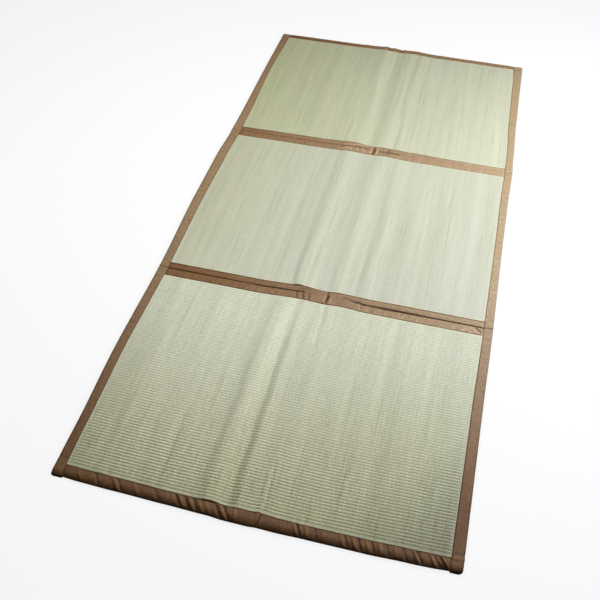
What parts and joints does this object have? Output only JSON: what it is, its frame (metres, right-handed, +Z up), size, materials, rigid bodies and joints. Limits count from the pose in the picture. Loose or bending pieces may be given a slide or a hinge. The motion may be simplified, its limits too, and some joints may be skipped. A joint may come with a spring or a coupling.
{
  "type": "tatami mat",
  "caption": "Folding rush floor mat laid out flat: three padded rush panels edged with cloth binding and joined by cloth fold strips.",
  "frame": {"origin": "on the floor, under the middle of the mat's outline", "axes": "+X across the width, +Y along the length from the near panel to the far one, +Z up"},
  "size_m": [0.912, 1.961, 0.0166],
  "materials": {
    "rush": "woven rush, pale green with straw and olive streaks",
    "binding_cloth": "plain-woven brown binding cloth, matt"
  },
  "bodies": {
    "root": {"panel_near": "rush", "panel_middle": "rush", "panel_far": "rush", "fold_strip_near": "binding_cloth", "fold_strip_far": "binding_cloth", "binding_near": "binding_cloth", "binding_far": "binding_cloth", "binding_left": "binding_cloth", "binding_right": "binding_cloth"}
  },
  "joints": []
}
